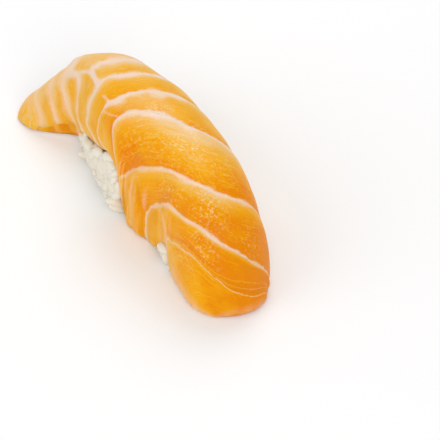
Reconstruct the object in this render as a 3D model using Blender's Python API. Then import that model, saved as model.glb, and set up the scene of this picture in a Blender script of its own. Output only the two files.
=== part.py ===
"""Salmon nigiri: a slice of salmon draped over a hand-pressed bed of rice.

Two pieces. The slice wraps the bed like a saddle: a tail corner runs out flat to the table, the left
edge climbs over a window of bare rice and comes down again as a flap, and the nose rolls down to the
table. The bed is a lumpy loaf, flat underneath and hollowed on top to the slice's own underside.
The slice is lofted: at each station along it, one quarter superellipse runs from the ridge down to
the left edge and another from the ridge down to the right edge.
"""

import math

import bmesh
import bpy
import numpy as np
from mathutils import Vector, noise

# Driving sizes, metres. X runs from the tail to the nose, Y from the left edge to the right, Z up.
LENGTH = 0.0876
WIDTH = 0.0390
HEIGHT = 0.0272
THICKNESS = 0.0052  # slice at its crest
EDGE_SHARE = 0.6  # share of that thickness left at the long edges
TAIL_SHARE = 0.55  # share left at the tail's end
TAIL_FADE = 24  # stations over which the tail reaches full thickness
NOSE_SHARE = 0.70  # share left at the nose's end
NOSE_FADE = 20
NOSE_RADIUS = 0.012  # the nose's edges face a point this far behind its end
TAIL_ROOT = 12  # up to this station the slice's edges are thick downwards
WALL_START = 26  # from this station they are thick inwards
TAIL_LEAN = 0.4  # share of inward lean that the tail's right edge keeps
EDGE_ROUND = 0.0008
EDGE_ANGLE = math.radians(50)  # edges sharper than this are rounded
GAP = 0.0004  # slice to rice
LIFT = 0.0003  # slice's lowest faces above the table
SEAT_OUTWARD = 0.004  # how far the cutter for the bed runs out past the slice
SEAT_FLOOR = 0.0016  # below this height the cutter runs on through the table

# The slice's lines: station (0 tail, 100 nose), then the place along, across and up,
# as percentages of LENGTH, WIDTH and HEIGHT.
RIDGE = (
    (0, 5.9, 44, 59),
    (10, 13.9, 49, 81),
    (24, 27.6, 55, 94),
    (47, 48.7, 61, 99.5),
    (60, 60.2, 62, 99.5),
    (72, 71.6, 65, 95.5),
    (83, 83, 66.5, 81),
    (92, 93.3, 67, 51.5),
    (100, 100, 66.5, 1.5),
)
LEFT_EDGE = (
    (0, 0, 8, 9.5),  # tail corner
    (3, 2.9, 0.5, 4),
    (7, 9.4, 3.5, 4.5),
    (11, 13.8, 14.5, 9),
    (15, 17.2, 24, 15.5),  # tail's root
    (24, 27.1, 26.5, 30),
    (37, 40.4, 26.5, 49.5),
    (44, 47.4, 27.5, 60.5),  # top of the rice window
    (49, 51.9, 27.5, 51.5),
    (53, 53.3, 28, 26),
    (56, 53.8, 29.5, 1.5),  # flap
    (64, 61.1, 30, 1.5),
    (69, 67.7, 37, 2),
    (73, 73.6, 37, 24),  # notch
    (77, 77.5, 37, 3),
    (84, 84.1, 36.5, 1.5),
    (92, 91.7, 38.5, 1.5),
    (100, 97, 47.5, 1.5),  # nose corner
)
RIGHT_EDGE = (
    (0, 14.5, 79, 29),
    (8, 20.2, 86, 26),
    (20, 28.2, 90, 18),
    (33, 37.3, 95, 26),
    (47, 48.7, 98.5, 20),
    (60, 60.2, 99.7, 24),
    (72, 71.6, 98.5, 13),
    (83, 81.8, 95, 16.5),
    (92, 90.4, 90, 7.5),
    (100, 97.8, 80, 1.5),
)
# Station, then the superellipse's power on the left and on the right: 1 is a straight slope.
FULLNESS = (
    (0, 1.1, 1.8),
    (10, 1.4, 2.2),
    (20, 2.4, 2.4),
    (33, 3, 2.5),
    (60, 3, 2.5),
    (83, 2.6, 2.5),
    (100, 2, 2),
)
# The bed of rice: place along, then its left and right walls, as percentages of LENGTH and WIDTH.
BED_WALLS = (
    (13, 28, 80),
    (27, 24.5, 88),
    (42, 23.5, 95),
    (58, 27.5, 97.5),
    (74, 35.5, 94),
    (84, 37, 88),
    (97, 44, 82),
)
BED_HEIGHT = 0.0245
BED_WIDEST = 0.0036  # height at which the bed is widest
BED_CORNER = 4.8  # superellipse power of the bed's plan
BED_CROWN = 3.4  # superellipse power of its section above the widest line
BED_FOOT = 0.45  # share of the lower half sphere that makes the foot of the walls
BED_TUCK = 0.066  # how far the foot draws in, as a share of the half width
LUMP_SIZE = 0.0052
LUMP_HEIGHT = 0.0006

SALMON_COLOUR = (0.86, 0.33, 0.03, 1.0)
SALMON_ROUGHNESS = 0.35
RICE_COLOUR = (0.72, 0.64, 0.52, 1.0)
RICE_ROUGHNESS = 0.55

SLICE_ROWS = 46
SLICE_COLUMNS = 20
BED_COLUMNS = 56
BED_ROWS = 20


def between(rail, station):
    """The rail's values at a station, on a smooth curve through its rows."""
    table = np.array(rail, float)
    at, values = table[:, 0], table[:, 1:]
    slopes = np.gradient(values, at, axis=0)
    low = int(np.clip(np.searchsorted(at, station) - 1, 0, len(at) - 2))
    step = at[low + 1] - at[low]
    t = (station - at[low]) / step
    near = (1 + 2 * t) * (1 - t) ** 2 * values[low] + t * (1 - t) ** 2 * step * slopes[low]
    far = t * t * (3 - 2 * t) * values[low + 1] + t * t * (t - 1) * step * slopes[low + 1]
    return near + far


def rail_point(rail, station):
    along, across, up = between(rail, station) / 100
    return Vector((LENGTH * (along - 0.5), WIDTH * (across - 0.5), HEIGHT * up))


def smooth_step(value):
    value = min(max(value, 0.0), 1.0)
    return value * value * (3 - 2 * value)


def thickness_at(station, share):
    """The slice's thickness, or that share of it, thinning towards the tail and the nose."""
    tail = TAIL_SHARE + (1 - TAIL_SHARE) * smooth_step(station / TAIL_FADE)
    nose = NOSE_SHARE + (1 - NOSE_SHARE) * smooth_step((100 - station) / NOSE_FADE)
    return THICKNESS * share * tail * nose


def lines_at(station, under, inward):
    """Ridge, left edge and right edge of the slice's upper face (under 0) or underside (under 1),
    moved inward by a further distance. The tail's left edge is cut straight down to the table."""
    ridge = rail_point(RIDGE, station)
    ahead = rail_point(RIDGE, station + 0.5) - rail_point(RIDGE, station - 0.5)
    spine_x = min(ridge.x, LENGTH / 2 - NOSE_RADIUS)
    lines = [ridge + Vector((ahead.z, 0, -ahead.x)).normalized() * (
        under * thickness_at(station, 1.0) + inward)]
    drop = 1 - smooth_step((station - TAIL_ROOT) / (WALL_START - TAIL_ROOT))
    for rail in (LEFT_EDGE, RIGHT_EDGE):
        edge = rail_point(rail, station)
        level = Vector((spine_x - edge.x, ridge.y - edge.y, 0)).normalized()
        way = (level * (1 - (1 - TAIL_LEAN) * drop) - Vector((0, 0, drop))).normalized()
        depth = way * thickness_at(station, EDGE_SHARE)
        if rail is LEFT_EDGE:
            depth = depth.lerp(Vector((0, 0, -edge.z)), drop)
        lines.append(edge + depth * under + way * inward)
    return lines


def drape(station, side, under, inward):
    """A point of the slice: side is -1 on the left edge, 0 on the ridge, 1 on the right edge."""
    ridge, left, right = lines_at(station, under, inward)
    powers = between(FULLNESS, station)
    edge, power, sign = (left, powers[0], 1) if side < 0 else (right, powers[1], -1)
    turn = abs(side) * math.pi / 2
    cosine, sine = max(math.cos(turn), 0.0), math.sin(turn)
    reach = (cosine**power + sine**power) ** (-1 / power)
    out, up = reach * sine, reach * cosine
    skew = (left.x - right.x) / 2
    bow = (left.x + right.x) / 2 - ridge.x
    return Vector((
        ridge.x + sign * skew * out + bow * out * out,
        ridge.y + (edge.y - ridge.y) * out,
        edge.z + (ridge.z - edge.z) * up,
    ))


def past_edge(station, side):
    """The way that leads off a long edge, within the wall it ends."""
    rail = LEFT_EDGE if side < 0 else RIGHT_EDGE
    ahead = rail_point(rail, station + 0.5) - rail_point(rail, station - 0.5)
    return Vector((ahead.z, 0, -ahead.x)).normalized()


def draped_shell(outward, gap):
    """The slice as a closed shell: a flat slab whose upper face is laid on the slice's own, raised by
    outward, and whose lower face is laid on its underside; the gap is left below it and its edges."""
    bm = bmesh.new()
    bmesh.ops.create_grid(bm, x_segments=SLICE_ROWS, y_segments=SLICE_COLUMNS, size=1)
    bmesh.ops.solidify(bm, geom=bm.faces[:], thickness=0.1)
    middle = sum(vert.co.z for vert in bm.verts) / len(bm.verts)
    for vert in bm.verts:
        station, side = 50 * (vert.co.x + 1), vert.co.y
        if vert.co.z > middle:
            vert.co = drape(station, side, 0, -outward)
        else:
            vert.co = drape(station, side, 1, gap)
        if abs(side) > 0.999:
            vert.co += past_edge(station, side) * gap
    bmesh.ops.recalc_face_normals(bm, faces=bm.faces[:])
    return bm


def add_object(name, bm, colour, roughness):
    mesh = bpy.data.meshes.new(name)
    bm.to_mesh(mesh)
    bm.free()
    mesh.shade_smooth()
    piece = bpy.data.objects.new(name, mesh)
    bpy.context.scene.collection.objects.link(piece)
    material = bpy.data.materials.new(name)
    material.use_nodes = True
    shader = material.node_tree.nodes["Principled BSDF"]
    shader.inputs["Base Color"].default_value = colour
    shader.inputs["Roughness"].default_value = roughness
    shader.inputs["Metallic"].default_value = 0.0
    mesh.materials.append(material)
    return piece


def make_slice():
    bm = draped_shell(0.0, 0.0)
    for vert in bm.verts:
        vert.co.z = max(vert.co.z, LIFT)
    piece = add_object("salmon", bm, SALMON_COLOUR, SALMON_ROUGHNESS)
    rounding = piece.modifiers.new("rounded edges", "BEVEL")
    rounding.width = EDGE_ROUND
    rounding.segments = 2
    rounding.limit_method = "ANGLE"
    rounding.angle_limit = EDGE_ANGLE
    return piece


def make_seat():
    """The cutter for the bed: the slice with its gap, run out past the loaf and down past the table."""
    bm = draped_shell(SEAT_OUTWARD, GAP)
    for vert in bm.verts:
        if vert.co.z < SEAT_FLOOR:
            vert.co.z = -SEAT_FLOOR
    piece = add_object("seat cutter", bm, SALMON_COLOUR, SALMON_ROUGHNESS)
    piece.hide_render = True
    piece.display_type = "WIRE"
    return piece


def bed_point(direction):
    """Maps a point of the unit sphere to the loaf: flat below, widest just above the table."""
    turn = math.atan2(direction.y, direction.x)
    cosine, sine = math.cos(turn), math.sin(turn)
    reach = (abs(cosine) ** BED_CORNER + abs(sine) ** BED_CORNER) ** (-1 / BED_CORNER)
    lift = abs(direction.z)
    if direction.z > 0:
        spread = (1 - lift**BED_CROWN) ** (1 / BED_CROWN)
        height = BED_WIDEST + (BED_HEIGHT - BED_WIDEST) * lift
    else:
        spread = 1 - lift if lift > BED_FOOT else 1 - BED_TUCK * (lift / BED_FOOT) ** 2
        height = BED_WIDEST * max(1 - lift / BED_FOOT, 0.0)
    first, last = BED_WALLS[0][0], BED_WALLS[-1][0]
    along = (first + last) / 2 + (last - first) / 2 * reach * cosine * spread
    left, right = between(BED_WALLS, along)
    across = (left + right) / 2 + (right - left) / 2 * reach * sine * spread
    return Vector((LENGTH * (along / 100 - 0.5), WIDTH * (across / 100 - 0.5), height))


def make_bed(seat):
    bm = bmesh.new()
    bmesh.ops.create_uvsphere(bm, u_segments=BED_COLUMNS, v_segments=BED_ROWS, radius=1)
    for vert in bm.verts:
        vert.co = bed_point(vert.co)
    bm.normal_update()
    for vert in bm.verts:
        lump = noise.noise(vert.co / LUMP_SIZE) + 0.5 * noise.noise(vert.co * 2.1 / LUMP_SIZE)
        fade = smooth_step(vert.co.z / (0.5 * BED_WIDEST))
        vert.co += vert.normal * lump * LUMP_HEIGHT * fade
        vert.co.z = max(vert.co.z, 0.0)
    piece = add_object("rice", bm, RICE_COLOUR, RICE_ROUGHNESS)
    hollow = piece.modifiers.new("seat for the slice", "BOOLEAN")
    hollow.operation = "DIFFERENCE"
    hollow.solver = "EXACT"
    hollow.use_self = True
    hollow.object = seat
    return piece


for old in list(bpy.data.objects):
    bpy.data.objects.remove(old, do_unlink=True)
make_slice()
make_bed(make_seat())
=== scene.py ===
import math
import random

import bmesh
import bpy
import numpy as np
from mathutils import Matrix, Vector, noise
from mathutils.bvhtree import BVHTree


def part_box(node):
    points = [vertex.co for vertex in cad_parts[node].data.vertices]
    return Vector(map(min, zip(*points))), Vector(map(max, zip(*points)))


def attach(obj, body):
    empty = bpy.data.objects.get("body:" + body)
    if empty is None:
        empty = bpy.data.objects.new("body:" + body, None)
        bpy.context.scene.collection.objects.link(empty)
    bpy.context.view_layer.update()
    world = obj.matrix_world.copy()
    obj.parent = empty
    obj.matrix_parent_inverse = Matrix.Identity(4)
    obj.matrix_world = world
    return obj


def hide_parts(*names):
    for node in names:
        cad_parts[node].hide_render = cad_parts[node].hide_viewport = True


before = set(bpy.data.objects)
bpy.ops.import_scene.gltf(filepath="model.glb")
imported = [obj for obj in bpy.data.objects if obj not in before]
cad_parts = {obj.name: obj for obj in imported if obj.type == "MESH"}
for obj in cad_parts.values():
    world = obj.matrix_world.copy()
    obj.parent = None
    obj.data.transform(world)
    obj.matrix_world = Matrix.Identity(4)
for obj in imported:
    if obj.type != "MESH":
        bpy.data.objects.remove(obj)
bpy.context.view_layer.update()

random.seed(11)
mm = 0.001

# The slice is lofted as its solid is. Stations run 0 at the tail to 100 at the nose, and each row gives
# the place along, across and up as percentages of the slice's own box.
sliceLines = {
    "ridge": (
        (0, 5.9, 44, 59), (10, 13.9, 49, 81), (24, 27.6, 55, 94), (47, 48.7, 61, 99.5),
        (60, 60.2, 62, 99.5), (72, 71.6, 65, 95.5), (83, 83, 66.5, 81), (92, 93.3, 67, 51.5),
        (100, 100, 66.5, 1.5),
    ),
    "left": (
        (0, 0, 8, 9.5), (3, 2.9, 0.5, 4), (7, 9.4, 3.5, 4.5), (11, 13.8, 14.5, 9),
        (15, 17.2, 24, 15.5), (24, 27.1, 26.5, 30), (37, 40.4, 26.5, 49.5), (44, 47.4, 27.5, 60.5),
        (49, 51.9, 27.5, 51.5), (53, 53.3, 28, 26), (56, 53.8, 29.5, 1.5), (64, 61.1, 30, 1.5),
        (69, 67.7, 37, 2), (73, 73.6, 37, 24), (77, 77.5, 37, 3), (84, 84.1, 36.5, 1.5),
        (92, 91.7, 38.5, 1.5), (100, 97, 47.5, 1.5),
    ),
    "right": (
        (0, 14.5, 79, 29), (8, 20.2, 86, 26), (20, 28.2, 90, 18), (33, 37.3, 95, 26),
        (47, 48.7, 98.5, 20), (60, 60.2, 99.7, 24), (72, 71.6, 98.5, 13), (83, 81.8, 95, 16.5),
        (92, 90.4, 90, 7.5), (100, 97.8, 80, 1.5),
    ),
    "fullness": (
        (0, 1.1, 1.8), (10, 1.4, 2.2), (20, 2.4, 2.4), (33, 3, 2.5), (60, 3, 2.5),
        (83, 2.6, 2.5), (100, 2, 2),
    ),
}

salmonShape = {
    "rows": 300,
    "columns": 136,
    "slab": 0.1,  # thickness of the flat blank, before it is draped
    "thickness": 5.2 * mm,
    "edgeShare": 0.6,  # of the thickness: at the edges, at the tail and at the nose
    "tailShare": 0.55,
    "noseShare": 0.7,
    "tailFade": 24,  # stations over which an end thickens to the full slice
    "noseFade": 20,
    "noseRadius": 12 * mm,  # the edges turn in towards a spine that stops this far from the nose
    "tailSpan": (12, 26),  # stations between the flat tail and the hanging walls
    "tailLean": 0.4,
    "rimRows": 0.022,  # share of the rows over which an end rounds off
    "rimColumns": 0.05,
    "rimTurn": 0.47,  # share of the thickness that each face bends through at the rim
    "rimCalm": 1.2,  # how soon the relief fades towards the rim
    "lift": 0.3 * mm,  # the underside's height over the table
    "stationStep": 0.25,  # steps that slopes are measured over
    "sideStep": 0.01,
    "steepRange": (0.03, 1.6),  # lines per millimetre
    "thinLobe": 0.2,  # fewest stations that a lobe spans
    "markSamples": 40,
    "markWindow": 2 * mm,  # no mark reaches further
    # what the attributes and the UV map are divided by
    "layerUnit": 20.0,
    "tintUnit": 10.0,
    # relief of the upper face: heights and reaches in millimetres, spans in stations or in sides
    "lipReach": 0.35,  # how soon behind its line a lip stands up
    "lipFade": 1.2,
    "lobeSwell": 0.45,  # share of its lip that a lobe swells by
    "dip": 0.2,  # share of the next lip that the flesh sinks by before it
    "dipReach": 0.6,
    "waves": ((7, 3.0, 0.14), (2.2, 8.0, 0.05)),  # size, seed and height
    "fatRise": 0.08,
    "seamDepth": 0.30,
    "foldHeight": 0.28,  # the flap's upright folds
    "foldPitch": 4.6,
    "foldStart": 55,
    "foldSides": (-0.55, -0.75),
    "foldStations": ((52, 56), (74, 70)),
    "setBack": 0.25,
    # tones of the flesh
    "shade": 0.22,  # painted shade: how much deeper the orange is painted before a line, in the dip under the next lip
    "shadeReach": 2.4,
    "shadeStations": (26, 42),
    # the underside and cut faces: the flesh's own unmarbled orange, deepened as painted shade on faces
    # turned from the light
    "underDepth": 1.1,
    "streakTone": 0.12,  # the streaks down the flap
    "streakSwing": 1.1,
    "streakSize": (1.3, 1 / 2.2),
    "streakSides": (-0.5, -0.7),
    "streakStations": ((46, 52), (78, 73)),
    "rimTone": 0.75,  # the pale rim round the nose
    "rimRipple": 0.8,
    "rimRippleSize": 2.4,
    "rimStations": (70, 82),
    "rimSides": (-0.74, -0.98),
    "rimEnd": (97.6, 99.8),
    "rimEndShare": 0.6,
    "cutSides": (-1.03, -0.93),  # the plain cut face at the tail's edge
    "cutStations": (20, 24),
}


def smoothStep(value):
    value = np.clip(value, 0, 1)
    return value * value * (3 - 2 * value)


def ease(value, span):
    # 0 up to the span's first place, 1 past its second
    return smoothStep((value - span[0]) / (span[1] - span[0]))


def curveAt(rows, at):
    # a smooth curve through the rows, read at every value of at
    table = np.array(rows, float)
    knots, values = table[:, 0], table[:, 1:]
    slopes = np.gradient(values, knots, axis=0)
    low = np.clip(np.searchsorted(knots, at) - 1, 0, len(knots) - 2)
    step = (knots[low + 1] - knots[low])[:, None]
    t = (at - knots[low])[:, None] / step
    near = (1 + 2 * t) * (1 - t) ** 2 * values[low] + t * (1 - t) ** 2 * step * slopes[low]
    far = t * t * (3 - 2 * t) * values[low + 1] + t * t * (t - 1) * step * slopes[low + 1]
    return near + far


def railAt(name, station):
    low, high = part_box("salmon")
    share = curveAt(sliceLines[name], station) / 100
    return np.stack([
        low.x + (high.x - low.x) * share[:, 0],
        low.y + (high.y - low.y) * share[:, 1],
        high.z * share[:, 2],
    ], axis=1)


def meshFrom(bm, name):
    mesh = bpy.data.meshes.new(name)
    bm.to_mesh(mesh)
    bm.free()
    return mesh


def putPiece(name, data):
    piece = bpy.data.objects.new(name, data)
    bpy.context.scene.collection.objects.link(piece)
    return piece


def unit(vectors):
    return vectors / np.maximum(np.linalg.norm(vectors, axis=-1, keepdims=True), 1e-9)


def drape(station, side, under):
    # points of the slice: side -1 left edge to 1 right edge, under 0 upper face to 1 underside
    form = salmonShape
    ridge = railAt("ridge", station)
    ahead = railAt("ridge", station + 0.5) - railAt("ridge", station - 0.5)
    tail = form["tailShare"] + (1 - form["tailShare"]) * smoothStep(station / form["tailFade"])
    nose = form["noseShare"] + (1 - form["noseShare"]) * smoothStep((100 - station) / form["noseFade"])
    depth = (form["thickness"] * tail * nose)[:, None]
    down = unit(np.stack([ahead[:, 2], 0 * station, -ahead[:, 0]], axis=1))
    spineX = np.minimum(ridge[:, 0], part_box("salmon")[1].x - form["noseRadius"])
    drop = 1 - ease(station, form["tailSpan"])
    edges = []
    for name in ("left", "right"):
        edge = railAt(name, station)
        level = unit(np.stack([spineX - edge[:, 0], ridge[:, 1] - edge[:, 1], 0 * station], axis=1))
        way = level * (1 - (1 - form["tailLean"]) * drop)[:, None]
        way[:, 2] -= drop
        inset = unit(way) * depth * form["edgeShare"]
        if name == "left":  # the tail's left edge is cut straight down to the table
            inset = inset * (1 - drop)[:, None]
            inset[:, 2] -= drop * edge[:, 2]
        edges.append(edge + inset * under[:, None])
    left, right = edges
    ridge = ridge + down * depth * under[:, None]
    powers = curveAt(sliceLines["fullness"], station)
    onLeft = side < 0
    edge = np.where(onLeft[:, None], left, right)
    power = np.where(onLeft, powers[:, 0], powers[:, 1])
    sign = np.where(onLeft, 1, -1)
    turn = np.abs(side) * math.pi / 2
    cosine, sine = np.maximum(np.cos(turn), 0), np.sin(turn)
    reach = (cosine**power + sine**power) ** (-1 / power)
    out, up = reach * sine, reach * cosine
    skew = (left[:, 0] - right[:, 0]) / 2
    bow = (left[:, 0] + right[:, 0]) / 2 - ridge[:, 0]
    return np.stack([
        ridge[:, 0] + sign * skew * out + bow * out * out,
        ridge[:, 1] + (edge[:, 1] - ridge[:, 1]) * out,
        edge[:, 2] + (ridge[:, 2] - edge[:, 2]) * up,
    ], axis=1)


# Fat lines from the tail to the nose, each through its (side, station) points. A lobe of flesh starts at
# each: "lip" is how far its edge stands up, "width" the line's own, "tint" how far the pale tint reaches
# into the lobe, all in millimetres, and "white" how white the line is, below zero for a yellowish one.
# The three values are for the left wall, the crown and the right wall. The whiteness is partly the fat's
# own and partly a painted highlight, strongest on the crown where the lips catch the light.
fatLines = (
    {"path": ((-1, -8), (-0.6, -13), (0, -24), (1, -32)),
     "lip": (0.05, 0.05, 0.05), "width": (1.2, 1.2, 1.2), "tint": (2, 2, 2), "white": (0.4, 0.5, 0.5)},
    {"path": ((-1, 9.2), (-0.86, 7.8), (-0.77, 5.5), (-0.69, 3.2), (-0.3, -5), (0.3, -12), (1, -18)),
     "lip": (0.05, 0.04, 0.04), "width": (1.5, 1.6, 1.5), "tint": (1.6, 2.4, 2.4),
     "white": (0.35, 0.5, 0.5)},
    {"path": ((-1, 12.6), (-0.86, 11), (-0.64, 8), (-0.51, 5.5), (-0.2, 0), (0.3, -6), (1, -10)),
     "lip": (0.05, 0.04, 0.04), "width": (1.6, 1.9, 1.6), "tint": (1.6, 2.6, 2.6),
     "white": (0.45, 0.6, 0.5)},
    {"path": ((-1, 18.2), (-0.9, 15.8), (-0.72, 13.2), (-0.56, 10.5), (-0.36, 7.2), (0, 0.6), (1, -3)),
     "lip": (0.05, 0.04, 0.04), "width": (1.7, 2.2, 2.0), "tint": (1.6, 2.6, 2.6),
     "white": (0.55, 0.75, 0.75)},
    {"path": ((-1, 24.4), (-0.89, 19.4), (-0.73, 17.8), (-0.51, 15.6), (-0.4, 12.5), (-0.3, 8.5),
              (-0.04, 3.2), (0.3, 2), (1, 8)),
     "lip": (0.06, 0.04, 0.04), "width": (1.6, 2.2, 2.0), "tint": (1.6, 2.4, 2.4),
     "white": (0.7, 0.95, 0.85)},
    {"path": ((-1, 38), (-0.91, 32.2), (-0.86, 27.9), (-0.72, 26.2), (-0.6, 26), (-0.45, 25.4),
              (-0.38, 24), (-0.32, 18.4), (-0.18, 17), (0.03, 17.2), (0.24, 17.5), (0.5, 17), (1, 20)),
     "lip": (0.06, 0.05, 0.05), "width": (1.1, 2.4, 2.1), "tint": (1.5, 2.4, 2.4),
     "white": (0.7, 1.1, 0.95)},
    {"path": ((-1, 38.4), (-0.91, 32.6), (-0.86, 28.3), (-0.72, 26.6), (-0.6, 26.4), (-0.45, 25.8),
              (-0.37, 24.9), (-0.25, 24.4), (-0.08, 25.5), (0.11, 26.5), (0.27, 27.8), (0.6, 30), (1, 34)),
     "lip": (0.05, 0.08, 0.08), "width": (1.0, 2.0, 2.0), "tint": (1.5, 2.2, 2.4),
     "white": (0.6, 1.0, 0.9)},
    {"path": ((-1, 43), (-0.87, 37.2), (-0.81, 35.4), (-0.68, 34.8), (-0.54, 34.2), (-0.42, 33.9),
              (-0.33, 34.6), (-0.15, 34.8), (0.04, 36), (0.22, 38.8), (0.48, 44.2), (1, 51)),
     "lip": (0.12, 0.22, 0.2), "width": (0.7, 2.2, 2.4), "tint": (1.0, 1.8, 2.6),
     "white": (0.6, 0.95, 0.9)},
    {"path": ((-1, 52), (-0.78, 46.5), (-0.71, 45.3), (-0.55, 42.2), (-0.46, 41.2), (-0.37, 41.2),
              (-0.19, 43.2), (-0.09, 45.5), (0.04, 49.2), (0.15, 54.5), (0.27, 58), (0.38, 60.8),
              (0.6, 63.5), (1, 67)),
     "lip": (0.22, 0.4, 0.36), "width": (0.6, 1.9, 1.3), "tint": (0.8, 7, 5.0),
     "white": (0.45, 1.1, 0.9)},
    {"path": ((-1, 51), (-0.9, 51.3), (-0.76, 53.2), (-0.6, 58), (-0.5, 61.8), (-0.44, 64.2),
              (-0.37, 67), (-0.31, 70), (-0.23, 73), (-0.14, 75.4), (-0.02, 78.2), (0.1, 80.4),
              (0.28, 81.9), (0.41, 82.6), (0.7, 83.8), (1, 85)),
     "lip": (0.2, 0.4, 0.42), "width": (0.7, 1.3, 1.1), "tint": (2.6, 4.6, 3.0),
     "white": (0.15, 0.75, 0.6)},
    {"path": ((-1, 66.3), (-0.84, 66.4), (-0.75, 66.8), (-0.68, 67.8), (-0.62, 70.4), (-0.5, 76.5),
              (-0.4, 81.4), (-0.29, 85.3), (-0.18, 88.1), (-0.04, 90.3), (0.18, 92.6), (0.39, 93.6),
              (1, 94.4)),
     "lip": (0.4, 0.42, 0.3), "width": (0.75, 0.85, 0.7), "tint": (1.4, 1.3, 1.0),
     "white": (0.45, 0.75, 0.4)},
    {"path": ((-1, 74), (-0.8, 74.4), (-0.66, 79), (-0.54, 85.6), (-0.44, 90), (-0.29, 93.2),
              (-0.14, 94.6), (0.1, 95.6), (0.5, 96.2), (1, 96.4)),
     "lip": (0, 0.03, 0.05), "width": (0.01, 0.06, 0.16), "tint": (0.2, 0.3, 0.3),
     "white": (-0.5, -0.4, -0.3)},
    {"path": ((-1, 74.2), (-0.8, 74.6), (-0.66, 79.3), (-0.54, 85.9), (-0.44, 90.4), (-0.29, 93.9),
              (-0.14, 95.4), (0.1, 96.4), (0.5, 96.8), (1, 96.9)),
     "lip": (0, 0.04, 0.05), "width": (0.01, 0.08, 0.18), "tint": (0.2, 0.3, 0.3),
     "white": (-0.5, -0.3, -0.2)},
    {"path": ((-1, 74.4), (-0.8, 74.8), (-0.74, 75.8), (-0.66, 79.5), (-0.6, 83.5), (-0.54, 86.2),
              (-0.44, 90.8), (-0.29, 94.6), (-0.14, 96.2), (0.1, 97.2), (1, 97.5)),
     "lip": (0.3, 0.1, 0.06), "width": (0.45, 0.24, 0.2), "tint": (1.0, 0.4, 0.3),
     "white": (0.3, 0, -0.2)},
    {"path": ((-1, 101), (1, 103)),
     "lip": (0.1, 0.1, 0.1), "width": (0.8, 0.8, 0.8), "tint": (1, 1, 1), "white": (0.3, 0.3, 0.3)},
)
fatPosts = (-0.8, -0.1, 0.55)  # the sides that a line's three values stand at

# Short marks on the flesh: (side, station) points, half width in millimetres, and tone, above zero for
# fat and below zero for a dark seam, grooved and darkened, partly the flesh's own and partly painted
# shade.
marks = (
    (((-0.41, 30.4), (-0.40, 33.8)), 0.34, 1.0),
    (((-0.34, 18.2), (-0.36, 25.4)), 0.75, 0.75),
    (((-0.51, 35.0), (-0.47, 38.6), (-0.43, 40.6)), 0.22, 0.75),
    (((-0.60, 35.6), (-0.66, 38.4), (-0.74, 40.4)), 0.2, 0.35),
    (((-0.92, 0.2), (-0.6, 0.3), (-0.3, 0.5)), 2.2, 0.5),
    (((-0.66, 69.4), (-0.72, 72.4), (-0.82, 74), (-0.9, 74.6)), 0.45, 0.6),
    (((-0.77, 76.8), (-0.77, 80.2)), 0.4, 0.35),
    (((-0.63, 71.6), (-0.71, 74.6)), 0.16, -0.6),
    (((-0.6, 63.4), (-0.69, 65), (-0.78, 65.8), (-0.95, 65.6)), 0.5, -0.75),
    (((-0.72, 46.8), (-0.8, 49), (-0.9, 50.6)), 0.4, 0.55),
    (((-0.7, 51.4), (-0.84, 52.6), (-0.97, 54.4)), 0.42, 0.6),
    (((-0.74, 54.4), (-0.97, 57.4)), 0.3, -0.45),
    (((-0.7, 56.4), (-0.97, 59.6)), 0.3, 0.35),
    (((-0.66, 58.8), (-0.74, 61.6), (-0.95, 62.6)), 0.28, 0.45),
    (((-0.62, 60.6), (-0.74, 63.4)), 0.2, 0.35),
    (((-0.8, 69.4), (-0.97, 69.8)), 0.35, 0.4),
    (((-0.78, 71.4), (-0.95, 72.2)), 0.3, -0.4),
    (((-0.66, 7.2), (-0.84, 9.0)), 1.0, -0.32),
    (((-0.64, 10.6), (-0.80, 12.2)), 0.9, -0.26),
    (((-0.34, 17.4), (-0.50, 20.6)), 0.8, -0.24),
    (((-0.48, 12.2), (-0.62, 14.2)), 0.7, -0.16),
    (((-1, 9), (-1, 12), (-0.99, 15), (-0.97, 18), (-0.96, 20)), 0.75, -0.5),
    (((-0.97, 3), (-0.85, 2.4), (-0.72, 2.6)), 1.3, 0.45),
)

# Depth of the flesh's orange, 0 pale to 1 deep: a row for each station, a column for each side.
# It is partly the flesh's own colour and partly painted light: paler towards the tail as a painted sheen,
# deeper towards the nose and the right edge as painted shade.
fleshStations = (0, 15, 30, 45, 60, 75, 90, 100)
fleshSides = (-1, -0.5, 0, 0.5, 1)
fleshDepthAndLight = (
    (0.10, 0.08, 0.05, 0.10, 0.30),
    (0.50, 0.34, 0.10, 0.12, 0.30),
    (0.35, 0.50, 0.50, 0.40, 0.45),
    (0.45, 0.85, 0.62, 0.50, 0.50),
    (0.42, 0.88, 0.45, 0.50, 0.60),
    (0.42, 0.75, 0.62, 0.72, 0.90),
    (0.60, 0.85, 0.98, 1.10, 1.15),
    (0.60, 0.90, 1.05, 1.15, 1.15),
)

# Wet, finely wrinkled places, where the coat and the bump are stronger and glints and a pale sheen are
# painted into the colour: side, station, reach in sides and in stations, strength.
wetGlintPlaces = (
    (-0.05, 46, 0.16, 3.5, 1.0),
    (0.22, 57, 0.12, 3, 0.8),
    (0.02, 63, 0.34, 9, 0.75),
    (-0.35, 54, 0.22, 6, 0.5),
    (0.2, 72, 0.2, 5, 0.5),
    (-0.15, 81, 0.2, 5, 1.0),
    (-0.46, 72, 0.12, 5, 0.6),
    (-0.36, 86, 0.14, 4.5, 1.0),
    (-0.62, 84, 0.06, 5, 0.7),
    (0.0, 38, 0.5, 3.5, 0.35),
    (0.25, 90, 0.2, 3, 0.35),
)

# Broad swellings of the upper face: side, station, reach in sides and in stations, rise in millimetres.
swells = (
    (0.18, 14, 0.3, 10, 0.8),
    (-0.06, 2.5, 0.08, 3.5, 0.7),
    (-0.84, 1.5, 0.14, 2.2, 0.4),
)


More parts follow.
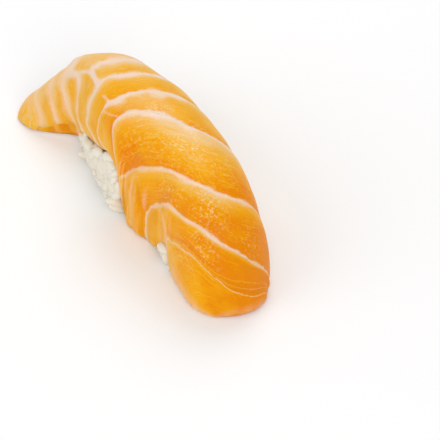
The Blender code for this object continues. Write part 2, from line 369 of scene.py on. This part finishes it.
def linesAcross(side):
    # where every fat line crosses each side, in order from the tail to the nose
    crossings = np.stack([curveAt(line["path"], side)[:, 0] for line in fatLines], axis=1)
    return np.maximum.accumulate(crossings + 1e-3 * np.arange(len(fatLines)), axis=1)


def layerAt(station, side):
    # the count of fat lines passed, whole on a line
    crossings = linesAcross(side)
    index = np.clip((crossings <= station[:, None]).sum(axis=1) - 1, 0, len(fatLines) - 2)
    pick = np.arange(len(station))
    start, end = crossings[pick, index], crossings[pick, index + 1]
    return index + np.clip((station - start) / np.maximum(end - start, salmonShape["thinLobe"]), 0, 1)


def lineFacts(name, layer, side):
    # a line's value at each side: that of the lobe's own line, and blended towards the next line's
    values = np.stack([np.interp(side, fatPosts, line[name]) for line in fatLines], axis=1)
    pick = np.arange(len(side))
    index = np.clip(np.floor(layer).astype(int), 0, len(fatLines) - 2)
    share = smoothStep(layer - index)
    return values[pick, index], values[pick, index] * (1 - share) + values[pick, index + 1] * share


def fleshDepthAndLightAt(station, side):
    rows = [(place, *row) for place, row in zip(fleshStations, fleshDepthAndLight)]
    columns = curveAt(rows, station)
    place = np.clip((side - fleshSides[0]) / (fleshSides[1] - fleshSides[0]), 0, len(fleshSides) - 1.001)
    low = place.astype(int)
    share = smoothStep(place - low)
    pick = np.arange(len(station))
    return columns[pick, low] * (1 - share) + columns[pick, low + 1] * share


def marksAt(points):
    # the tone of the marks at each point of the upper face
    tone = np.zeros(len(points))
    window = salmonShape["markWindow"]
    for path, reach, strength in marks:
        along = np.linspace(0, len(path) - 1, salmonShape["markSamples"] * len(path))
        sides = np.interp(along, np.arange(len(path)), [place[0] for place in path])
        stations = np.interp(along, np.arange(len(path)), [place[1] for place in path])
        trail = drape(stations, sides, 0 * sides)
        low, high = trail.min(axis=0) - window, trail.max(axis=0) + window
        near = np.all((points > low) & (points < high), axis=1)
        distance = np.linalg.norm(points[near][:, None] - trail[None], axis=2).min(axis=1)
        tone[near] += strength * np.exp(-(distance / (reach * mm)) ** 2)
    return tone


def hillAt(station, side, spot):
    # a smooth hill: the spot gives its side, station, reaches and height
    sideAt, stationAt, sideReach, stationReach, height = spot
    offset = ((side - sideAt) / sideReach) ** 2 + ((station - stationAt) / stationReach) ** 2
    return height * np.exp(-offset)


def wetGlintAt(station, side):
    wetGlint = np.zeros(len(station))
    for spot in wetGlintPlaces:
        wetGlint = np.maximum(wetGlint, hillAt(station, side, spot))
    return wetGlint


def valueNoise(points, size, seed=0.0):
    shift = Vector((seed, seed * 1.7, seed * 0.3))
    return np.array([noise.noise(Vector(point) / size + shift) for point in points])


def surfaceSteps(station, side):
    # short steps along and across the upper face, its normal, and how steeply the layers climb there
    form = salmonShape
    step, level = form["stationStep"], 0 * station
    sideLow = np.clip(side - form["sideStep"], -1, 1)
    sideHigh = np.clip(side + form["sideStep"], -1, 1)
    alongStep = drape(station + step, side, level) - drape(station - step, side, level)
    acrossStep = drape(station, sideHigh, level) - drape(station, sideLow, level)
    normal = unit(np.cross(alongStep, acrossStep))
    ahead = layerAt(station + step, side) - layerAt(station - step, side)
    sideways = layerAt(station, sideHigh) - layerAt(station, sideLow)
    along = np.maximum(np.linalg.norm(alongStep, axis=1), 1e-6)
    across = np.maximum(np.linalg.norm(acrossStep, axis=1), 1e-6)
    skew = (alongStep * acrossStep).sum(axis=1) / along / across
    rise, drift = ahead / along, sideways / across
    square = np.maximum(rise**2 + drift**2 - 2 * skew * rise * drift, 0) / np.maximum(1 - skew**2, 0.05)
    return normal, np.clip(np.sqrt(square) * mm, *form["steepRange"])


def makeBlank():
    # a flat slab, x from tail to nose and y from the left edge to the right one
    form = salmonShape
    bm = bmesh.new()
    bmesh.ops.create_grid(bm, x_segments=form["rows"], y_segments=form["columns"], size=1)
    bmesh.ops.solidify(bm, geom=bm.faces[:], thickness=form["slab"])
    return meshFrom(bm, "salmonSlice")


def reliefAt(base, station, side, layer, after, before, tone):
    # how far the upper face stands off the smooth slice
    form = salmonShape
    u = layer - np.floor(layer)
    lip = lineFacts("lip", layer, side)[0]
    nextLip = lineFacts("lip", np.minimum(layer + 1, len(fatLines) - 1.01), side)[0]
    height = lip * (1 - np.exp(-after / form["lipReach"])) * (1 - u) ** form["lipFade"]
    height += form["lobeSwell"] * lip * np.sin(math.pi * u)
    height -= form["dip"] * nextLip * np.exp(-(before / form["dipReach"]) ** 2)
    for size, seed, wave in form["waves"]:
        height += wave * valueNoise(base, size * mm, seed)
    height += np.where(tone > 0, form["fatRise"], form["seamDepth"]) * tone
    flap = ease(side, form["foldSides"])
    for span in form["foldStations"]:
        flap = flap * ease(station, span)
    folds = np.cos((station - form["foldStart"]) / form["foldPitch"] * 2 * math.pi)
    height += form["foldHeight"] * flap * folds
    for spot in swells:
        height += hillAt(station, side, spot)
    return (height - form["setBack"]) * mm


def paleTone(base, station, side):
    # pale streaks down the flap and a pale rim round the nose
    form = salmonShape
    strand = np.stack([station / form["streakSize"][0], side / form["streakSize"][1], 0 * side], axis=1)
    wall = ease(side, form["streakSides"])
    for span in form["streakStations"]:
        wall = wall * ease(station, span)
    streaks = wall * (form["streakTone"] + form["streakSwing"] * valueNoise(strand, 1.0, 5.0))
    end = form["rimEndShare"] * ease(station, form["rimEnd"])
    rim = ease(station, form["rimStations"]) * np.maximum(ease(side, form["rimSides"]), end)
    ripple = 1 + form["rimRipple"] * valueNoise(base, form["rimRippleSize"] * mm, 21.0)
    return streaks + form["rimTone"] * rim * ripple


def makeSlice():
    print("salmon: laying the slice")
    form = salmonShape
    mesh = makeBlank()
    flat = np.zeros(len(mesh.vertices) * 3)
    mesh.vertices.foreach_get("co", flat)
    flat = flat.reshape(-1, 3)
    upper = flat[:, 2] > flat[:, 2].mean()
    station, side = 50 * (flat[:, 0] + 1), flat[:, 1]

    # the rim: upper face and underside bend together towards the edges and ends
    toEnd = np.minimum(station, 100 - station) / 100 / form["rimRows"]
    toSide = (1 - np.abs(side)) / form["rimColumns"]
    rim = np.clip(np.maximum(1 - toEnd, 1 - toSide), 0, 1)
    rim = form["rimTurn"] * (1 - np.sqrt(1 - rim * rim))
    place = drape(station, side, np.where(upper, rim, 1 - rim))
    base = drape(station, side, 0 * station)
    normal, steep = surfaceSteps(station, side)

    print("salmon: lobes and fat lines")
    layer = layerAt(station, side)
    u = layer - np.floor(layer)
    after, before = u / steep, (1 - u) / steep
    tone = marksAt(base)
    height = reliefAt(base, station, side, layer, after, before, tone)
    place = place + normal * (height * np.where(upper, 1 - form["rimCalm"] * rim, 0.0))[:, None]
    place[:, 2] = np.maximum(place[:, 2], form["lift"])
    mesh.vertices.foreach_set("co", place.ravel())

    tone += paleTone(base, station, side)
    # painted shade: the orange is deepened just before each line, in the dip under the next lip, rising
    # from station 26 to 42
    paintedShade = form["shade"] * np.exp(-(before / form["shadeReach"]) ** 2)
    paintedShade = paintedShade * ease(station, form["shadeStations"])
    # the underside and cut faces take the deepest orange, partly painted shade
    depth = np.where(upper, fleshDepthAndLightAt(station, side) + paintedShade, form["underDepth"])
    plainCut = ease(side, form["cutSides"]) + ease(station, form["cutStations"])
    marbled = upper * np.minimum(plainCut, 1)
    width, tint, white = [lineFacts(name, layer, side)[1] for name in ("width", "tint", "white")]
    paints = {
        "marble": np.stack([steep, width, tint / form["tintUnit"], white], axis=1),
        "flesh": np.stack([depth, wetGlintAt(station, side), 0.5 + 0.5 * tone, marbled], axis=1),
    }
    for name, paint in paints.items():
        mesh.attributes.new(name, "FLOAT_COLOR", "POINT").data.foreach_set("color", paint.ravel())
    uv = mesh.uv_layers.new(name="layers")
    corners = np.zeros(len(mesh.loops), int)
    mesh.loops.foreach_get("vertex_index", corners)
    spots = np.stack([layer / form["layerUnit"], side * 0.5 + 0.5], axis=1)
    uv.data.foreach_set("uv", spots[corners].ravel())
    mesh.shade_smooth()
    return putPiece("salmonSlice", mesh)


class Flow:
    # one socket of a material; arithmetic on it adds Math nodes

    def __init__(self, tree, socket=None):
        self.tree = tree
        self.socket = socket

    def add(self, kind, settings=None, values=None, output=0):
        node = self.tree.nodes.new(kind)
        for key, value in (settings or {}).items():
            if key == "stops":
                ramp = node.color_ramp.elements
                while len(ramp) < len(value):
                    ramp.new(0.5)
                for stop, (position, colour) in zip(ramp, value):
                    stop.position = position
                    stop.color = colour
            else:
                setattr(node, key, value)
        for key, value in (values or {}).items():
            if isinstance(value, Flow):
                self.tree.links.new(value.socket, node.inputs[key])
            else:
                node.inputs[key].default_value = value
        return Flow(self.tree, node.outputs[output])

    def maths(self, operation, first, second=0.0):
        return self.add("ShaderNodeMath", {"operation": operation}, {0: first, 1: second})

    def __add__(self, other):
        return self.maths("ADD", self, other)

    def __radd__(self, other):
        return self.maths("ADD", other, self)

    def __sub__(self, other):
        return self.maths("SUBTRACT", self, other)

    def __rsub__(self, other):
        return self.maths("SUBTRACT", other, self)

    def __mul__(self, other):
        return self.maths("MULTIPLY", self, other)

    def __rmul__(self, other):
        return self.maths("MULTIPLY", other, self)

    def __truediv__(self, other):
        return self.maths("DIVIDE", self, other)

    def __rtruediv__(self, other):
        return self.maths("DIVIDE", other, self)

    def __pow__(self, other):
        return self.maths("POWER", self, other)

    def output(self, index):
        return Flow(self.tree, self.socket.node.outputs[index])

    def size(self):
        return self.maths("ABSOLUTE", self)

    def fraction(self):
        return self.maths("FRACT", self)

    def atLeast(self, low):
        return self.maths("MAXIMUM", self, low)

    def above(self, start, contrast):
        # 0 up to start, then rising to 1
        return ((self - start) * contrast).clamp()

    def below(self, start, contrast):
        return ((start - self) * contrast).clamp()

    def fall(self, width, power=2.0):
        # 1 at zero, falling to 0 over a width or so, more steeply with a higher power
        return self.maths("EXPONENT", (self / width) ** power * -1.0)

    def clamp(self):
        return self.add("ShaderNodeClamp", None, {0: self})

    def mix(self, low, high):
        # self is the factor between two colours
        return self.add("ShaderNodeMix", {"data_type": "RGBA"}, {0: self, 6: low, 7: high}, 2)

    def cloud(self, scale, detail=3.0, rough=0.5, warp=0.0):
        # soft noise over the coordinates that self holds
        return self.add("ShaderNodeTexNoise", None, {
            "Vector": self, "Scale": scale, "Detail": detail, "Roughness": rough, "Distortion": warp})

    def bump(self, strength, depth):
        return self.add("ShaderNodeBump", None, {"Strength": strength, "Distance": depth, "Height": self})

    def feed(self, shader, name):
        self.tree.links.new(self.socket, shader.inputs[name])


def startMaterial(name, fixed):
    # a material whose shader has the fixed values on its own sockets
    material = bpy.data.materials.new(name)
    material.use_nodes = True
    tree = material.node_tree
    shader = tree.nodes["Principled BSDF"]
    for socket, value in fixed.items():
        shader.inputs[socket].default_value = value
    return material, Flow(tree), shader


salmonLook = {
    "flesh": (  # depth of the orange, and its colour
        (0.00, (0.88, 0.56, 0.23, 1)),
        (0.27, (0.90, 0.48, 0.055, 1)),
        (0.55, (0.90, 0.40, 0.003, 1)),
        (0.80, (0.88, 0.335, 0.0, 1)),
        (1.00, (0.84, 0.25, 0.0, 1)),
    ),
    "fat": (0.90, 0.60, 0.39, 1),
    # the whitest fat, also the painted highlight on the lips' crowns
    "white": (0.90, 0.75, 0.66, 1),
    # colour of the painted glints on wet specks and threads
    "glint": (0.95, 0.74, 0.36, 1),
    # colour of the dark seams, partly painted shade in their grooves
    "seam": (0.72, 0.26, 0.002, 1),
    # clouds, per metre
    "waver": 420.0,
    "swell": 210.0,
    "patches": 150.0,
    "grain": 1900.0,
    "specks": 1500.0,
    "specksAbove": (0.545, 11.0),  # where in their cloud they start, and how crisply
    # fat lines
    "waverReach": 0.9,  # millimetres
    "swellRange": 3.4,  # how much a line's width varies, and its least share
    "thinnest": 0.35,
    "core": 0.85,  # share of the line's width that is solid fat
    "crisp": 3.0,  # how steeply it ends
    "softBefore": 6.6,  # lines before this layer have soft edges
    "edge": (0.3, 0.35),  # reach before the line, in cores: a crisp line's, and more for a soft one
    "softFade": 0.25,  # how much fainter a soft line is
    "fatMix": (0.25, 0.9, 0.6),  # from fat's colour to white: start, by whiteness, by patches
    "fatStreak": (0.5, 0.5, 1.1),  # strength: at least, by whiteness, by grain
    "fatTint": 0.4,  # strength of the tint and of the marks
    "fatMark": 0.7,
    "fatLess": 0.05,
    "fatOnCut": 0.2,  # share that is left on the tail's cut face
    # patterns along the layers: repeats to a layer and from edge to edge, then the cloud's values
    "fibreRun": (14.0, 4.0, 3.0),
    "fibreCloud": (3.0, 2.0, 0.6, 0.9),
    "hairsAbove": (0.55, 9.0),
    "seamsBelow": (0.43, 9.0),
    "threadRun": (2.2, 4.0),
    "threadCloud": (1.6, 2.0, 0.5, 1.8),
    "threadRings": 4.0,  # contours of the cloud, drawn thin and broken up by the patches
    "threadThin": 12.0,
    "threadPatches": (0.325, 4.0),
    "calmLayer": 14.2,  # from this layer on the flesh is nearly smooth
    "calm": 0.15,
    # how far each pattern deepens or pales the orange
    "patchDepth": 0.9,
    "fibreDepth": 0.5,
    "paleDepth": 0.75,
    "palePatches": 0.15,
    "threadDepth": (0.3, 0.35),  # dry, and more where wet as a painted sheen
    "hairDepth": 0.4,
    "seamDepth": 0.35,
    "markDepth": 0.7,
    "glints": (0.55, 0.25),  # painted glints: on specks and on threads, where wet
    "coat": (0.12, 0.6),  # where wet, and more on specks
    "roughness": (0.36, 0.25),  # least, and more by grain
    "relief": (0.25, 0.9, 0.7, 0.6),  # grain, more grain where wet, fibres, wet threads
    "bump": 0.4,
    "bumpDepth": 0.3 * mm,
    "shader": {
        "Subsurface Weight": 0.25,
        "Subsurface Radius": (1.0, 0.4, 0.1),
        "Subsurface Scale": 0.8 * mm,
        "Specular IOR Level": 0.2,
        "Specular Tint": (1, 0.66, 0.2, 1),
        "Coat Roughness": 0.16,
    },
}


def salmonMaterial():
    look = salmonLook
    material, flow, shader = startMaterial("salmonFlesh", look["shader"])
    uv = flow.add("ShaderNodeUVMap", {"uv_map": "layers"})
    split = flow.add("ShaderNodeSeparateXYZ", None, {0: uv})
    layer, side = split * salmonShape["layerUnit"], split.output(1)
    marble = flow.add("ShaderNodeAttribute", {"attribute_name": "marble"})
    steep = flow.add("ShaderNodeSeparateColor", None, {0: marble})
    width, tint, white = steep.output(1), steep.output(2) * salmonShape["tintUnit"], marble.output(3)
    flesh = flow.add("ShaderNodeAttribute", {"attribute_name": "flesh"})
    depth = flow.add("ShaderNodeSeparateColor", None, {0: flesh})
    wetGlint, tone, marbled = depth.output(1), depth.output(2) * 2.0 - 1.0, flesh.output(3)
    place = flow.add("ShaderNodeTexCoord", None, None, 3)
    patches = place.cloud(look["patches"], 4.0)
    grain = place.cloud(look["grain"], 1.0)
    specks = place.cloud(look["specks"], 2.0, 0.6).above(*look["specksAbove"])

    # the lines waver a little, and their distances are in millimetres
    waver = place.cloud(look["waver"]) - 0.5
    swell = ((place.cloud(look["swell"], 2.0) - 0.5) * look["swellRange"] + 1.0).atLeast(look["thinnest"])
    layer = layer + waver * look["waverReach"] * steep
    u = layer.fraction()
    after, before = u / steep, (1 - u) / steep

    # fibres and threads run along the layers: fine across them, long down them
    across, slant, down = look["fibreRun"]
    strands = flow.add("ShaderNodeCombineXYZ", None, {0: layer * across + side * slant, 1: side * down})
    fibres = strands.cloud(*look["fibreCloud"])
    lively = (look["calmLayer"] - layer).clamp() * (1 - look["calm"]) + look["calm"]
    hairs = fibres.above(*look["hairsAbove"]) * lively
    seams = fibres.below(*look["seamsBelow"]) * lively
    across, down = look["threadRun"]
    strands = flow.add("ShaderNodeCombineXYZ", None, {0: layer * across, 1: side * down})
    rings = (strands.cloud(*look["threadCloud"]) * look["threadRings"]).fraction()
    threads = (1 - (rings - 0.5).size() * look["threadThin"]).clamp()
    threads = threads * patches.above(*look["threadPatches"]) * lively

    # each fat line starts a little before its place, and its pale tint fades into the lobe after it
    soft = (look["softBefore"] - layer).clamp()
    core = width * swell * look["core"]
    edge, softer = look["edge"]
    line = (after.fall(core, look["crisp"]) + before.fall(core * (edge + softer * soft))).clamp()
    pale = after.fall(tint) * (patches + look["palePatches"]).clamp()

    # the orange of the flesh, from the depth attribute with its painted sheen and shade; the threads pale
    # it more where wet as a painted sheen
    dry, wetter = look["threadDepth"]
    shade = depth + (patches - 0.5) * look["patchDepth"] + (fibres - 0.5) * look["fibreDepth"] * lively
    shade = shade - pale * look["paleDepth"] - threads * (dry + wetter * wetGlint)
    shade = shade - hairs * look["hairDepth"] + seams * look["seamDepth"]
    colour = flow.add("ShaderNodeValToRGB", {"stops": look["flesh"]}, {0: shade})
    # dark seams take the seam colour: partly the flesh's own, partly painted shade in their grooves
    colour = ((tone * -1.0).clamp() * look["markDepth"]).mix(colour, look["seam"])

    # fat over it, whiter on the crowns as a painted highlight, and painted glints over both
    start, byWhite, byPatches = look["fatMix"]
    fat = ((white - start) * byWhite + (patches - 0.5) * byPatches).clamp().mix(look["fat"], look["white"])
    least, byWhite, byGrain = look["fatStreak"]
    streak = line * (least + byWhite * white + (grain - 0.5) * byGrain) * (1 - look["softFade"] * soft)
    spread = streak + pale * white * look["fatTint"] + tone.clamp() * look["fatMark"]
    spread = (spread - look["fatLess"]).clamp() * (look["fatOnCut"] + (1 - look["fatOnCut"]) * marbled)
    colour = spread.mix(colour, fat)
    # painted glints: the glint colour mixed in on wet specks and threads
    onSpecks, onThreads = look["glints"]
    colour = (wetGlint * specks * onSpecks + threads * wetGlint * onThreads).clamp().mix(colour, look["glint"])
    colour.feed(shader, "Base Color")

    least, onSpecks = look["coat"]
    (wetGlint * (least + onSpecks * specks)).clamp().feed(shader, "Coat Weight")
    least, byGrain = look["roughness"]
    (least + byGrain * grain).feed(shader, "Roughness")
    least, wetter, byFibres, byThreads = look["relief"]
    relief = grain * (least + wetter * wetGlint) + fibres * byFibres + threads * wetGlint * byThreads
    relief.bump(look["bump"], look["bumpDepth"]).feed(shader, "Normal")
    return material


rice = {
    "length": 5.8 * mm,
    "width": 2.9 * mm,
    "depth": 2.5 * mm,
    "longer": (0.85, 1.12),  # each grain's own share of the sizes above
    "wider": (0.9, 1.1),
    "tilt": 0.22,
    "bend": 0.35 * mm,
    "taper": (0.16, 0.10),  # towards the pointed end, and towards both
    "around": 8,  # faces around a grain and rings along it
    "rings": 6,
    "spacing": 2.3 * mm,
    "sink": 1.1 * mm,  # how deep under the bed's surface a grain's middle lies
    "sinkSpread": (-0.2, 0.25),
    "lowestMiddle": 1.3 * mm,
    "lowestPlace": 0.9 * mm,  # no grain is placed lower than this on the bed
    "floorGap": 0.05 * mm,
    "tries": 9000,
    "rayHeight": 6 * mm,  # where the rays that find places start, and how far in from the bed's ends
    "rayInset": 6 * mm,
    "rayLift": (-0.35, 1.0),
    "rayGap": 0.05 * mm,
    "coverReach": 9 * mm,  # a place with the slice this near over it is hidden,
    "coverEdge": 2.6 * mm,  # unless the slice ends this near beside it
    "merge": 0.02 * mm,
    "coreInset": 0.25 * mm,  # how far the core is drawn in, and its height over the table
    "coreFloor": 0.4 * mm,
    "bright": (0.86, 0.81, 0.70),
    "soft": (0.82, 0.75, 0.62),
    "coreTone": 0.98,
    "grainTone": 1.0,
    "patches": 240.0,  # clouds, per metre
    "grit": 1400.0,
    "brightAbove": (0.3, 2.2),
    "roughness": (0.38, 0.25),
    "bump": 0.25,
    "bumpDepth": 0.2 * mm,
    "shader": {
        "Subsurface Weight": 0.25,
        "Subsurface Radius": (1.0, 1.0, 1.0),
        "Subsurface Scale": 0.8 * mm,
        "Specular IOR Level": 0.4,
    },
}


def riceMaterial(name, tone):
    material, flow, shader = startMaterial(name, rice["shader"])
    place = flow.add("ShaderNodeTexCoord", None, None, 3)
    patches, grit = place.cloud(rice["patches"]), place.cloud(rice["grit"])
    bright = (*(part * tone for part in rice["bright"]), 1)
    soft = (*(part * tone for part in rice["soft"]), 1)
    least, byGrit = rice["roughness"]
    patches.above(*rice["brightAbove"]).mix(soft, bright).feed(shader, "Base Color")
    (least + byGrit * grit).feed(shader, "Roughness")
    grit.bump(rice["bump"], rice["bumpDepth"]).feed(shader, "Normal")
    return material


def makeRiceCore():
    # the bed's own solid, merged and drawn in, so that whole grains can stand on it
    print("rice: core")
    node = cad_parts["rice"]
    bm = bmesh.new()
    bm.from_mesh(node.data)
    bmesh.ops.remove_doubles(bm, verts=bm.verts[:], dist=rice["merge"])
    bm.normal_update()
    shell = BVHTree.FromBMesh(bm)
    for vert in bm.verts:
        vert.co -= vert.normal * rice["coreInset"]
        vert.co.z = max(vert.co.z, rice["coreFloor"])
    bmesh.ops.smooth_vert(bm, verts=bm.verts[:], factor=0.5, use_axis_x=True, use_axis_y=True,
                          use_axis_z=True)
    mesh = meshFrom(bm, "riceCore")
    mesh.shade_smooth()
    return putPiece("riceCore", mesh), shell


def oneGrain(bm, place, normal):
    # a plump grain, blunt at one end, lying on the bed with a little tilt and bend
    length = rice["length"] * random.uniform(*rice["longer"])
    width = rice["width"] * random.uniform(*rice["wider"])
    depth = rice["depth"] * random.uniform(*rice["wider"])
    turn = random.uniform(0, math.pi)
    tilt = random.uniform(-rice["tilt"], rice["tilt"])
    bend = random.uniform(-rice["bend"], rice["bend"])
    middle = place - normal * (rice["sink"] + random.uniform(*rice["sinkSpread"]) * mm)
    middle.z = max(middle.z, rice["lowestMiddle"])
    tangent = normal.orthogonal().normalized()
    along = (tangent * math.cos(turn) + normal.cross(tangent) * math.sin(turn)).normalized()
    along = (along + normal * tilt).normalized()
    beside = normal.cross(along).normalized()
    up = along.cross(beside).normalized()
    made = bmesh.ops.create_uvsphere(bm, u_segments=rice["around"], v_segments=rice["rings"], radius=1)
    toPoint, toBoth = rice["taper"]
    for vert in made["verts"]:
        x, y, z = vert.co.z, vert.co.x, vert.co.y
        taper = 1 - toPoint * x - toBoth * x * x
        bow = bend * (1 - x * x)
        vert.co = (middle + along * (x * length / 2) + beside * (y * width / 2 * taper + bow)
                   + up * (z * depth / 2 * taper))


def isHidden(sheet, place, normal):
    # whether the slice lies over a place and all round it
    start = place + normal * rice["rayGap"]
    if sheet.ray_cast(start, normal, rice["coverReach"])[0] is None:
        return False
    tangent = normal.orthogonal().normalized()
    for step in range(6):
        angle = step * math.pi / 3
        way = tangent * math.cos(angle) + normal.cross(tangent) * math.sin(angle)
        if sheet.ray_cast(start + way * rice["coverEdge"], normal, rice["coverReach"])[0] is None:
            return False
    return True


def scatterPlaces(shell, sheet):
    # even, random places on the bed's surface, leaving out what the slice hides
    low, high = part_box("rice")
    middle = (low.y + high.y) / 2
    reach = (high - low).length
    kept = []
    for attempt in range(rice["tries"]):
        turn, lift = random.uniform(0, 2 * math.pi), random.uniform(*rice["rayLift"])
        along = random.uniform(low.x + rice["rayInset"], high.x - rice["rayInset"])
        way = Vector((math.cos(turn), math.sin(turn), lift)).normalized()
        start = Vector((along, middle, rice["rayHeight"]))
        place, normal = shell.ray_cast(start, way, reach)[:2]
        if place is None or place.z < rice["lowestPlace"]:
            continue
        if normal.dot(way) < 0:
            normal = -normal
        if isHidden(sheet, place, normal):
            continue
        if any((place - other[0]).length < rice["spacing"] for other in kept):
            continue
        kept.append((place, normal))
    return kept


def makeGrains(shell, sheet):
    print("rice: grains")
    bm = bmesh.new()
    places = scatterPlaces(shell, sheet)
    for place, normal in places:
        oneGrain(bm, place, normal)
    for vert in bm.verts:
        vert.co.z = max(vert.co.z, rice["floorGap"])
    print("rice:", len(places), "grains,", len(bm.faces), "faces")
    mesh = meshFrom(bm, "riceGrains")
    mesh.shade_smooth()
    return putPiece("riceGrains", mesh)


studio = {
    "floorSize": 1.5,
    "floorPaint": {"Base Color": (0.97, 0.97, 0.97, 1), "Roughness": 0.9},
    "skyColour": (1, 1, 1, 1),
    "sky": 0.55,
    "lamps": {  # place, diameter, watts
        "back": ((-0.28, 0.22, 0.42), 0.34, 0.95),
        "left": ((-0.05, -0.42, 0.30), 0.40, 0.6),
        "front": ((0.40, -0.05, 0.30), 0.40, 0.7),
    },
}


def makeStage():
    print("stage: floor, lights and camera")
    bm = bmesh.new()
    bmesh.ops.create_grid(bm, x_segments=2, y_segments=2, size=studio["floorSize"])
    floor = putPiece("floor", meshFrom(bm, "floor"))
    floor.data.materials.append(startMaterial("floorPaint", studio["floorPaint"])[0])

    world = bpy.data.worlds.new("studio")
    world.use_nodes = True
    sky = world.node_tree.nodes["Background"]
    sky.inputs["Color"].default_value = studio["skyColour"]
    sky.inputs["Strength"].default_value = studio["sky"]
    bpy.context.scene.world = world

    for name, (place, size, power) in studio["lamps"].items():
        lamp = bpy.data.lights.new(name, "AREA")
        lamp.shape = "DISK"
        lamp.size = size
        lamp.energy = power
        holder = putPiece(name, lamp)
        holder.location = place
        holder.rotation_mode = "QUATERNION"
        holder.rotation_quaternion = Vector(place).to_track_quat("Z", "Y")


shot = {
    "azimuth": 65.5,
    "elevation": 47,
    "distance": 0.388,
    "lens": 135,
    "sensor": 36,
    "nearest": 0.01,
    "aim": (0.0194, 0.0100, 0.0075),
}


def makeCamera():
    turn, lift = math.radians(shot["azimuth"]), math.radians(shot["elevation"])
    back = Vector((math.sin(turn) * math.cos(lift), -math.cos(turn) * math.cos(lift), math.sin(lift)))
    camera = bpy.data.cameras.new("camera")
    camera.lens = shot["lens"]
    camera.sensor_width = shot["sensor"]
    camera.clip_start = shot["nearest"]
    holder = putPiece("camera", camera)
    holder.location = Vector(shot["aim"]) + back * shot["distance"]
    holder.rotation_euler = (math.pi / 2 - lift, 0, turn)
    bpy.context.scene.camera = holder
    bpy.context.scene.view_settings.view_transform = "Standard"


makeStage()
makeCamera()

salmonSlice = makeSlice()
salmonSlice.data.materials.append(salmonMaterial())
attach(salmonSlice, "root")
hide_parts("salmon")

riceCore, riceShell = makeRiceCore()
riceCore.data.materials.append(riceMaterial("riceBed", rice["coreTone"]))
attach(riceCore, "root")
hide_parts("rice")

sheetMesh = bmesh.new()
sheetMesh.from_mesh(salmonSlice.data)
sheetTree = BVHTree.FromBMesh(sheetMesh)
sheetMesh.free()
riceGrains = makeGrains(riceShell, sheetTree)
riceGrains.data.materials.append(riceMaterial("riceGrain", rice["grainTone"]))
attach(riceGrains, "root")

bpy.context.view_layer.update()
print("done")
